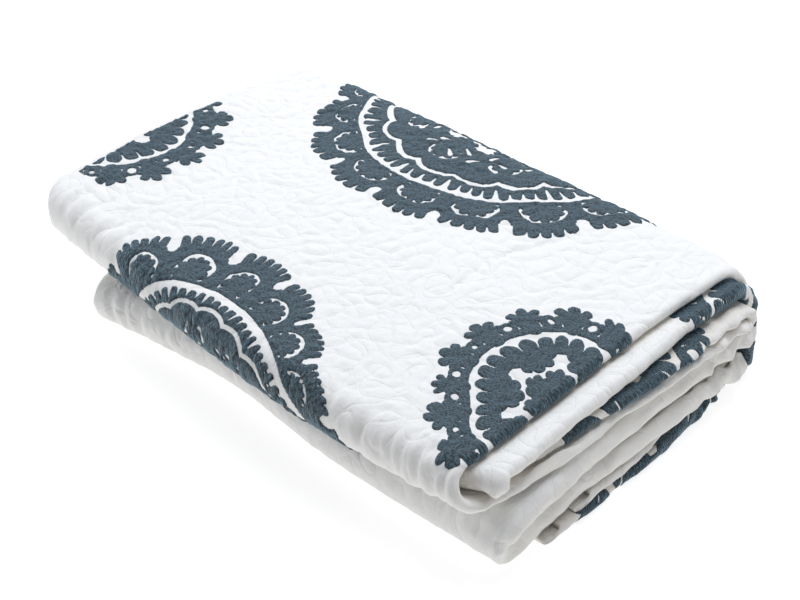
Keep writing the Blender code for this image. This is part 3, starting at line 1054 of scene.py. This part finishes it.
def small_rosette(p, q, lobes, parted):
    """Flowers of five petals on a thin ring, eyelets between them, and a leafy disc with white gaps in it.

    The value is over 0 on thread, as in the large one. None of its lines is parted, whatever the row says.
    """
    reach = np.hypot(p, q)
    out, side = sector(p, q, FLOWERS, 0.0)[:2]
    field = np.maximum(ring(reach, THIN_RING, THIN_RING_END), spoke(out, side, *FLOWER_BODY))
    for degrees, length in PETALS:
        angle = math.radians(degrees)
        tip = (FLOWER_PLACE + length * math.cos(angle), length * math.sin(angle))
        field = np.maximum(field, petal(out, side, (FLOWER_PLACE, 0), tip, *PETAL_WIDTHS))
    out, side, number = sector(p, q, FLOWERS, math.pi / FLOWERS)
    around_eyelet = np.hypot(out - EYELET_PLACE, side)
    eyelet = EYELET[0] + EYELET[1] * (0.5 + 0.5 * np.cos(EYELET[2] * number)) - around_eyelet
    field = np.maximum(field, EYELET_RIM - around_eyelet)
    field = np.minimum(field, -eyelet)

    out, side = sector(p, q, lobes, DISC_TURN)[:2]
    field = np.maximum(field, np.maximum(DISC - reach, spoke(out, side, *DISC_LOBE)))
    return np.minimum(field, -leafy_gap(p, q, *DISC_LEAVES))


# Rims of three rosettes, which the folds pull out of round: angle, the ring's radius, and the tips' radius
BACK_RIM = (
    (-180, 0.151, 0.184),
    (-90, 0.152, 0.195),
    (0, 0.158, 0.208),
    (20, 0.159, 0.210),
    (44, 0.154, 0.211),
    (70, 0.153, 0.204),
    (100, 0.154, 0.205),
    (125, 0.152, 0.201),
    (140, 0.150, 0.195),
    (153, 0.150, 0.184),
    (180, 0.151, 0.184),
)
FRONT_RIM = (
    (-180, 0.128, 0.172),
    (-160, 0.128, 0.171),
    (-143, 0.127, 0.174),
    (-128, 0.124, 0.190),
    (-116, 0.124, 0.196),
    (-98, 0.124, 0.189),
    (-78, 0.121, 0.180),
    (-62, 0.121, 0.169),
    (-42, 0.127, 0.166),
    (-30, 0.134, 0.171),
    (-18, 0.140, 0.184),
    (0, 0.140, 0.186),
    (90, 0.128, 0.180),
    (180, 0.128, 0.172),
)
NEAR_RIM = (
    (-180, 0.0787, 0.1110),
    (-135, 0.0820, 0.1157),
    (-75, 0.0730, 0.1030),
    (0, 0.0790, 0.1115),
    (90, 0.0860, 0.1215),
    (135, 0.0745, 0.1051),
    (180, 0.0787, 0.1110),
)

# One row for each rosette: name, design, number of fingers on a fan or of lobes, whether its white lines are
# parted, its rim where that isn't round, pair of plies, centre along X, station that its run starts from,
# centre along the run, turn, and its first and last stations
ROSETTES = (
    ("rosette_back", large_rosette, 5, True, BACK_RIM, 0, -0.340, 2.0, -0.0745, 0.030, 1.0, 3.0),
    ("rosette_front", large_rosette, 6, False, FRONT_RIM, 0, -0.310, 2.0, 0.444, 0.108, 2.0, 4.6),
    ("rosette_near", small_rosette, 27, False, NEAR_RIM, 0, -0.026, 2.0, 0.229, 0.150, 2.0, 4.2),
    ("rosette_far", small_rosette, 27, False, None, 0, -0.614, 2.0, 0.201, 0.300, 2.0, 3.2),
    ("rosette_wrap", small_rosette, 27, False, None, 1, 0.012, 2.0, -0.034, 0.100, 1.1, 3.0),
    ("rosette_turned", small_rosette, 27, False, None, 0, 0.000, 2.0, -0.160, 0.200, 0.4, 2.0),
    ("rosette_inner", small_rosette, 27, False, None, 1, 0.055, 5.0, -0.145, 0.050, 4.0, 5.2),
    ("rosette_under", small_rosette, 27, False, None, 0, 0.060, 1.0, -0.156, 0.250, 0.0, 1.2),
)


def clipped(station, u, field, columns):
    """Triangles and quads of a grid where a field is over 0, cut along the line where it is 0.

    Each cell is two triangles. A triangle with one or two corners inside is cut where the field is 0 on its
    sides. Returns the places on the grid, now with the cut points, the field there, and the faces.
    """
    count = station.size
    field = np.where(np.abs(field) < LEAST_FIELD, -LEAST_FIELD, field).ravel()
    ids = np.arange(count).reshape(-1, columns)
    corners = np.stack((ids[:-1, :-1], ids[1:, :-1], ids[1:, 1:], ids[:-1, 1:]), -1).reshape(-1, 4)
    triangles = np.concatenate((corners[:, [0, 1, 2]], corners[:, [0, 2, 3]]))
    inside = field[triangles] > 0
    number = inside.sum(1)
    whole = triangles[number == 3]
    one = triangles[number == 1]
    one = np.take_along_axis(one, (np.argmax(field[one] > 0, 1)[:, None] + np.arange(3)) % 3, 1)
    two = triangles[number == 2]
    two = np.take_along_axis(two, (np.argmax(field[two] <= 0, 1)[:, None] + np.arange(3)) % 3, 1)
    sides = np.concatenate((one[:, [0, 1]], one[:, [0, 2]], two[:, [0, 1]], two[:, [0, 2]]))
    keys, back = np.unique(np.sort(sides, 1), axis=0, return_inverse=True)
    back = back.ravel() + count
    cuts = np.split(back, np.cumsum((len(one), len(one), len(two))))
    share = field[keys[:, 0]] / (field[keys[:, 0]] - field[keys[:, 1]])

    def with_cuts(values):
        """The grid's values, and those at the cuts, by share of the way from one corner to the other."""
        first, last = values.ravel()[keys].T
        return np.concatenate((values.ravel(), first + share * (last - first)))

    faces = [
        whole,
        np.stack((one[:, 0], cuts[0], cuts[1]), 1),
        np.stack((two[:, 1], two[:, 2], cuts[3], cuts[2]), 1),
    ]
    return with_cuts(station), with_cuts(u), np.concatenate((field, np.zeros(len(keys)))), faces


def face_run(rows, u_places, pair, anchor):
    """Length along the face from the anchor station to each row, for each place along X."""
    fine = np.linspace(min(anchor, rows[0]), max(anchor, rows[-1]), 1500)
    station, u = np.meshgrid(fine, u_places, indexing="ij")
    height = np.full_like(station, FACE_HEIGHT + LOFT / 2)
    points = cloth_point(station, across_of(station, u, pair), height)
    steps = np.linalg.norm(np.diff(points, axis=0), axis=2)
    run = np.concatenate((np.zeros((1, len(u_places))), np.cumsum(steps, axis=0)))

    def run_at(place):
        """The run at a station, in a straight line between the two fine stations beside it."""
        index = np.interp(place, fine, np.arange(len(fine)))
        lower = np.minimum(index.astype(int), len(fine) - 2)
        share = (index - lower)[:, None]
        return run[lower] * (1 - share) + run[lower + 1] * share

    return run_at(rows) - run_at(np.array([anchor]))


def rosette(
    name, design, detail, parted, rim, pair, centre_u, anchor, centre_run, turn, first, last, material,
):
    """Embroidery of one rosette: a crowned sheet of thread on the cloth's face, where its design is filled.

    The design is drawn on places along X and along the face, measured from its centre. The thread's height
    over the face is a quarter circle of the distance from its outline, where it is sunk into the cloth.
    """
    reach = max(row[2] for row in rim) + RIM_MARGIN if rim else PLAIN_REACH
    start = flat_along(np.array(anchor)) + centre_run
    low, high = flat_along(np.array((first, last)))
    runs = np.arange(max(start - reach, low), min(start + reach, high), THREAD_STEP)
    fine = np.linspace(0, LAST_STATION - JUST_UNDER, 8000)
    rows = np.interp(runs, flat_along(fine), fine)
    near, far = ply_ends(rows)[:2]
    edge = near[2 * pair]
    begin = far[0] + FAR_EDGE_MARGIN if pair == 0 else edge - THREAD_BEFORE_EDGE
    low_u = max(centre_u - reach, begin.min())
    high_u = min(centre_u + reach, edge.max() + THREAD_PAST_EDGE)
    u_places = np.arange(low_u, high_u, THREAD_STEP)
    station, u = np.meshgrid(rows, u_places, indexing="ij")
    p = u - centre_u
    q = face_run(rows, u_places, pair, anchor) - centre_run
    waves = plane_waves(*HAND_WAVES)
    p_shift = wave_sum(p, q, waves)[0]
    q_shift = wave_sum(q + 0.3, p - 0.2, waves)[0]
    p = p + HAND_SHIFT * p_shift
    q = q + HAND_SHIFT * q_shift
    if rim:
        drawn = (CLEAN_RING, FAN_TIPS) if design is large_rosette else (THIN_RING, FLOWER_TIPS)
        p, q = stretched(p, q, rim, *drawn)
    cos, sin = math.cos(turn), math.sin(turn)
    field = design(p * cos + q * sin, q * cos - p * sin, detail, parted)
    field = np.minimum(field, np.minimum(u - begin[:, None], edge[:, None] + THREAD_PAST_EDGE - u))
    station, u, field, faces = clipped(station, u, field, len(u_places))
    across = across_of(station, u, pair)
    flat_u, flat_v = flat_place(station, across)
    height, _, free = face_height(station, across, flat_u, flat_v)
    crown = np.sqrt(1 - (1 - np.clip(field / THREAD_ROUND, 0, 1)) ** 2)
    height = height + (0.5 + 0.5 * free) * THREAD_CROWN * crown - THREAD_SINK * (crown < 0.01)
    places = cloth_point(station, across, height)
    attributes = {"inside": field, "flat": np.stack((flat_u, flat_v, np.zeros_like(flat_u)), -1)}
    return mesh_piece(name, places, faces, attributes, material)


def fill(node, inputs):
    """Sets each of a node's inputs to its value, or links it to the socket that feeds it."""
    for title, value in inputs.items():
        if isinstance(value, bpy.types.NodeSocket):
            node.id_data.links.new(value, node.inputs[title])
        else:
            node.inputs[title].default_value = value


def added(nodes, kind, inputs, **settings):
    """A new shader node of a kind, with its settings and its inputs."""
    node = nodes.new("ShaderNode" + kind)
    for title, value in settings.items():
        setattr(node, title, value)
    fill(node, inputs)
    return node


def new_material(name, colour, roughness):
    """A material with one Principled shader, and its nodes."""
    material = bpy.data.materials.new(name)
    material.use_nodes = True
    nodes = material.node_tree.nodes
    shader = nodes["Principled BSDF"]
    fill(shader, {"Base Color": (*colour, 1), "Roughness": roughness})
    return material, nodes, shader


def ivory_cotton():
    """Woven ivory cotton: a fine weave, a thin dent along the stitches, painted warm shade in the hollows, a
    soft sheen.

    The relief is noise on the flat cloth, plus a step in the lesser distance from the two sets of stitches.
    The colour goes from the painted shade tone to the open one with how open the face is.
    """
    material, nodes, shader = new_material("ivory_cotton", COTTON, 0.85)
    flat = added(nodes, "Attribute", {}, attribute_name="flat")
    stitch = added(nodes, "Attribute", {}, attribute_name="stitch")
    split = added(nodes, "SeparateXYZ", {"Vector": stitch.outputs["Vector"]})
    weave = {"Vector": flat.outputs["Vector"], "Scale": 240, "Detail": 5, "Roughness": 0.62}
    grain = added(nodes, "TexNoise", weave)
    sizes = [added(nodes, "Math", {0: split.outputs[axis]}, operation="ABSOLUTE") for axis in "XY"]
    nearest = added(nodes, "Math", {0: sizes[0].outputs[0], 1: sizes[1].outputs[0]}, operation="MINIMUM")
    dent = {"Value": nearest.outputs[0], "From Max": 0.24, "To Max": 0.5}
    seam = added(nodes, "MapRange", dent, interpolation_type="SMOOTHSTEP")
    relief = {0: grain.outputs["Fac"], 1: 1.6, 2: seam.outputs["Result"]}
    height = added(nodes, "Math", relief, operation="MULTIPLY_ADD")
    bump = added(nodes, "Bump", {"Strength": 0.80, "Distance": 0.0007, "Height": height.outputs[0]})
    # Painted shade: where the face is little open, between plies, the colour goes warmer and darker
    painted_shade_mix = added(nodes, "MapRange", {"Value": split.outputs["Z"], "From Max": 0.16})
    tones = {"Factor": painted_shade_mix.outputs["Result"], "A": (*COTTON_PAINTED_SHADE, 1), "B": (*COTTON, 1)}
    colour = added(nodes, "Mix", tones, data_type="RGBA")
    fill(shader, {"Sheen Weight": 0.15, "Sheen Roughness": 0.5})
    fill(shader, {"Normal": bump.outputs["Normal"], "Base Color": colour.outputs["Result"]})
    return material


def slate_thread():
    """Slate chain stitch: rows that follow the outline of each shape, with speckled threads.

    The relief is a sine of the distance from the outline plus noise on the flat cloth, which also goes from
    the dark colour to the light one.
    """
    material, nodes, shader = new_material("slate_thread", THREAD, 0.6)
    inside = added(nodes, "Attribute", {}, attribute_name="inside")
    flat = added(nodes, "Attribute", {}, attribute_name="flat")
    row = added(nodes, "Math", {0: inside.outputs["Fac"], 1: 2 * math.pi / THREAD_ROW}, operation="MULTIPLY")
    wave = added(nodes, "Math", {0: row.outputs[0]}, operation="SINE")
    speckle = added(nodes, "TexNoise", {"Vector": flat.outputs["Vector"], "Scale": 560, "Detail": 2})
    relief = {0: wave.outputs[0], 1: 0.07, 2: speckle.outputs["Fac"]}
    height = added(nodes, "Math", relief, operation="MULTIPLY_ADD")
    bump = added(nodes, "Bump", {"Strength": 1.0, "Distance": 0.0015, "Height": height.outputs[0]})
    sharper = {"Value": speckle.outputs["Fac"], "From Min": 0.38, "From Max": 0.64}
    contrast = added(nodes, "MapRange", sharper)
    tones = {"Factor": contrast.outputs["Result"], "A": (*THREAD_DARK, 1), "B": (*THREAD_LIGHT, 1)}
    colour = added(nodes, "Mix", tones, data_type="RGBA")
    fill(shader, {"Sheen Weight": 1.0, "Sheen Roughness": 0.30, "Sheen Tint": (*THREAD_SHEEN, 1)})
    fill(shader, {"Normal": bump.outputs["Normal"], "Base Color": colour.outputs["Result"]})
    return material


def white_floor():
    """A plain white floor, a square that gives off a little light of its own."""
    material, _, shader = new_material("white_floor", (0.30, 0.30, 0.30), 0.9)
    fill(shader, {"Emission Color": (1, 1, 1, 1), "Emission Strength": 0.84, "Specular IOR Level": 0.1})
    mesh = bpy.data.meshes.new("floor")
    corners = [(FLOOR_REACH * x, FLOOR_REACH * y, 0) for x, y in ((-1, -1), (1, -1), (1, 1), (-1, 1))]
    mesh.from_pydata(corners, [], [(0, 1, 2, 3)])
    mesh.materials.append(material)
    floor = linked("floor", mesh)


def camera():
    """The camera at the photograph's angle and distance."""
    data = bpy.data.cameras.new("camera")
    data.sensor_width = FILM_WIDTH
    data.lens = LENS
    data.clip_end = 50
    pitch = math.radians(CAMERA_PITCH)
    forward = Vector(CAMERA_HEADING) * math.cos(pitch) - Vector((0, 0, math.sin(pitch)))
    right = forward.cross(Vector((0, 0, 1))).normalized()
    up = right.cross(forward)
    turn = Matrix((right, up, -forward)).transposed().to_4x4()
    item = linked("camera", data)
    item.matrix_world = Matrix.Translation(CAMERA_PLACE) @ turn
    bpy.context.scene.camera = item


def area_light(name, place, target, size, power):
    """A square soft light that looks from a place towards a target."""
    data = bpy.data.lights.new(name, "AREA")
    data.size = size
    data.energy = power
    data.color = LIGHT_COLOUR
    way = (Vector(target) - Vector(place)).to_track_quat("-Z", "Y")
    linked(name, data).matrix_world = Matrix.Translation(place) @ way.to_matrix().to_4x4()


def light():
    """Soft light from above and behind, weak fills from the front and the side, and a pale surround."""
    for lamp in LAMPS:
        area_light(*lamp)
    world = bpy.data.worlds.new("surround")
    world.use_nodes = True
    fill(world.node_tree.nodes["Background"], {"Color": (*LIGHT_COLOUR, 1), "Strength": SURROUND_STRENGTH})
    bpy.context.scene.world = world
    bpy.context.scene.view_settings.view_transform = "Standard"


def main():
    """Makes the camera, the light, the floor, the two parts of the cloth and the embroidery on them."""
    camera()
    light()
    white_floor()
    cotton = ivory_cotton()
    thread = slate_thread()
    visible_levels = ((0.9, 4.0), (6.9, 8.1))
    outer_fine = ((0.90, 3.0),)
    far_loop = (3.0, 4.0)
    inner_fine = (far_loop, (4 + HIDDEN_SHARE, 6 + JOIN_SHARE))
    outer = cloth_piece("quilt_outer", outer_columns(), outer_fine, (), visible_levels, cotton)
    inner = cloth_piece("quilt_inner", inner_columns(), inner_fine, (far_loop,), (), cotton)
    flowers = [rosette(*row, thread) for row in ROSETTES]
    for piece in [outer, inner]:
        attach(piece, "root")
        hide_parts("quilt")
    for piece in flowers:
        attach(piece, "root")


main()
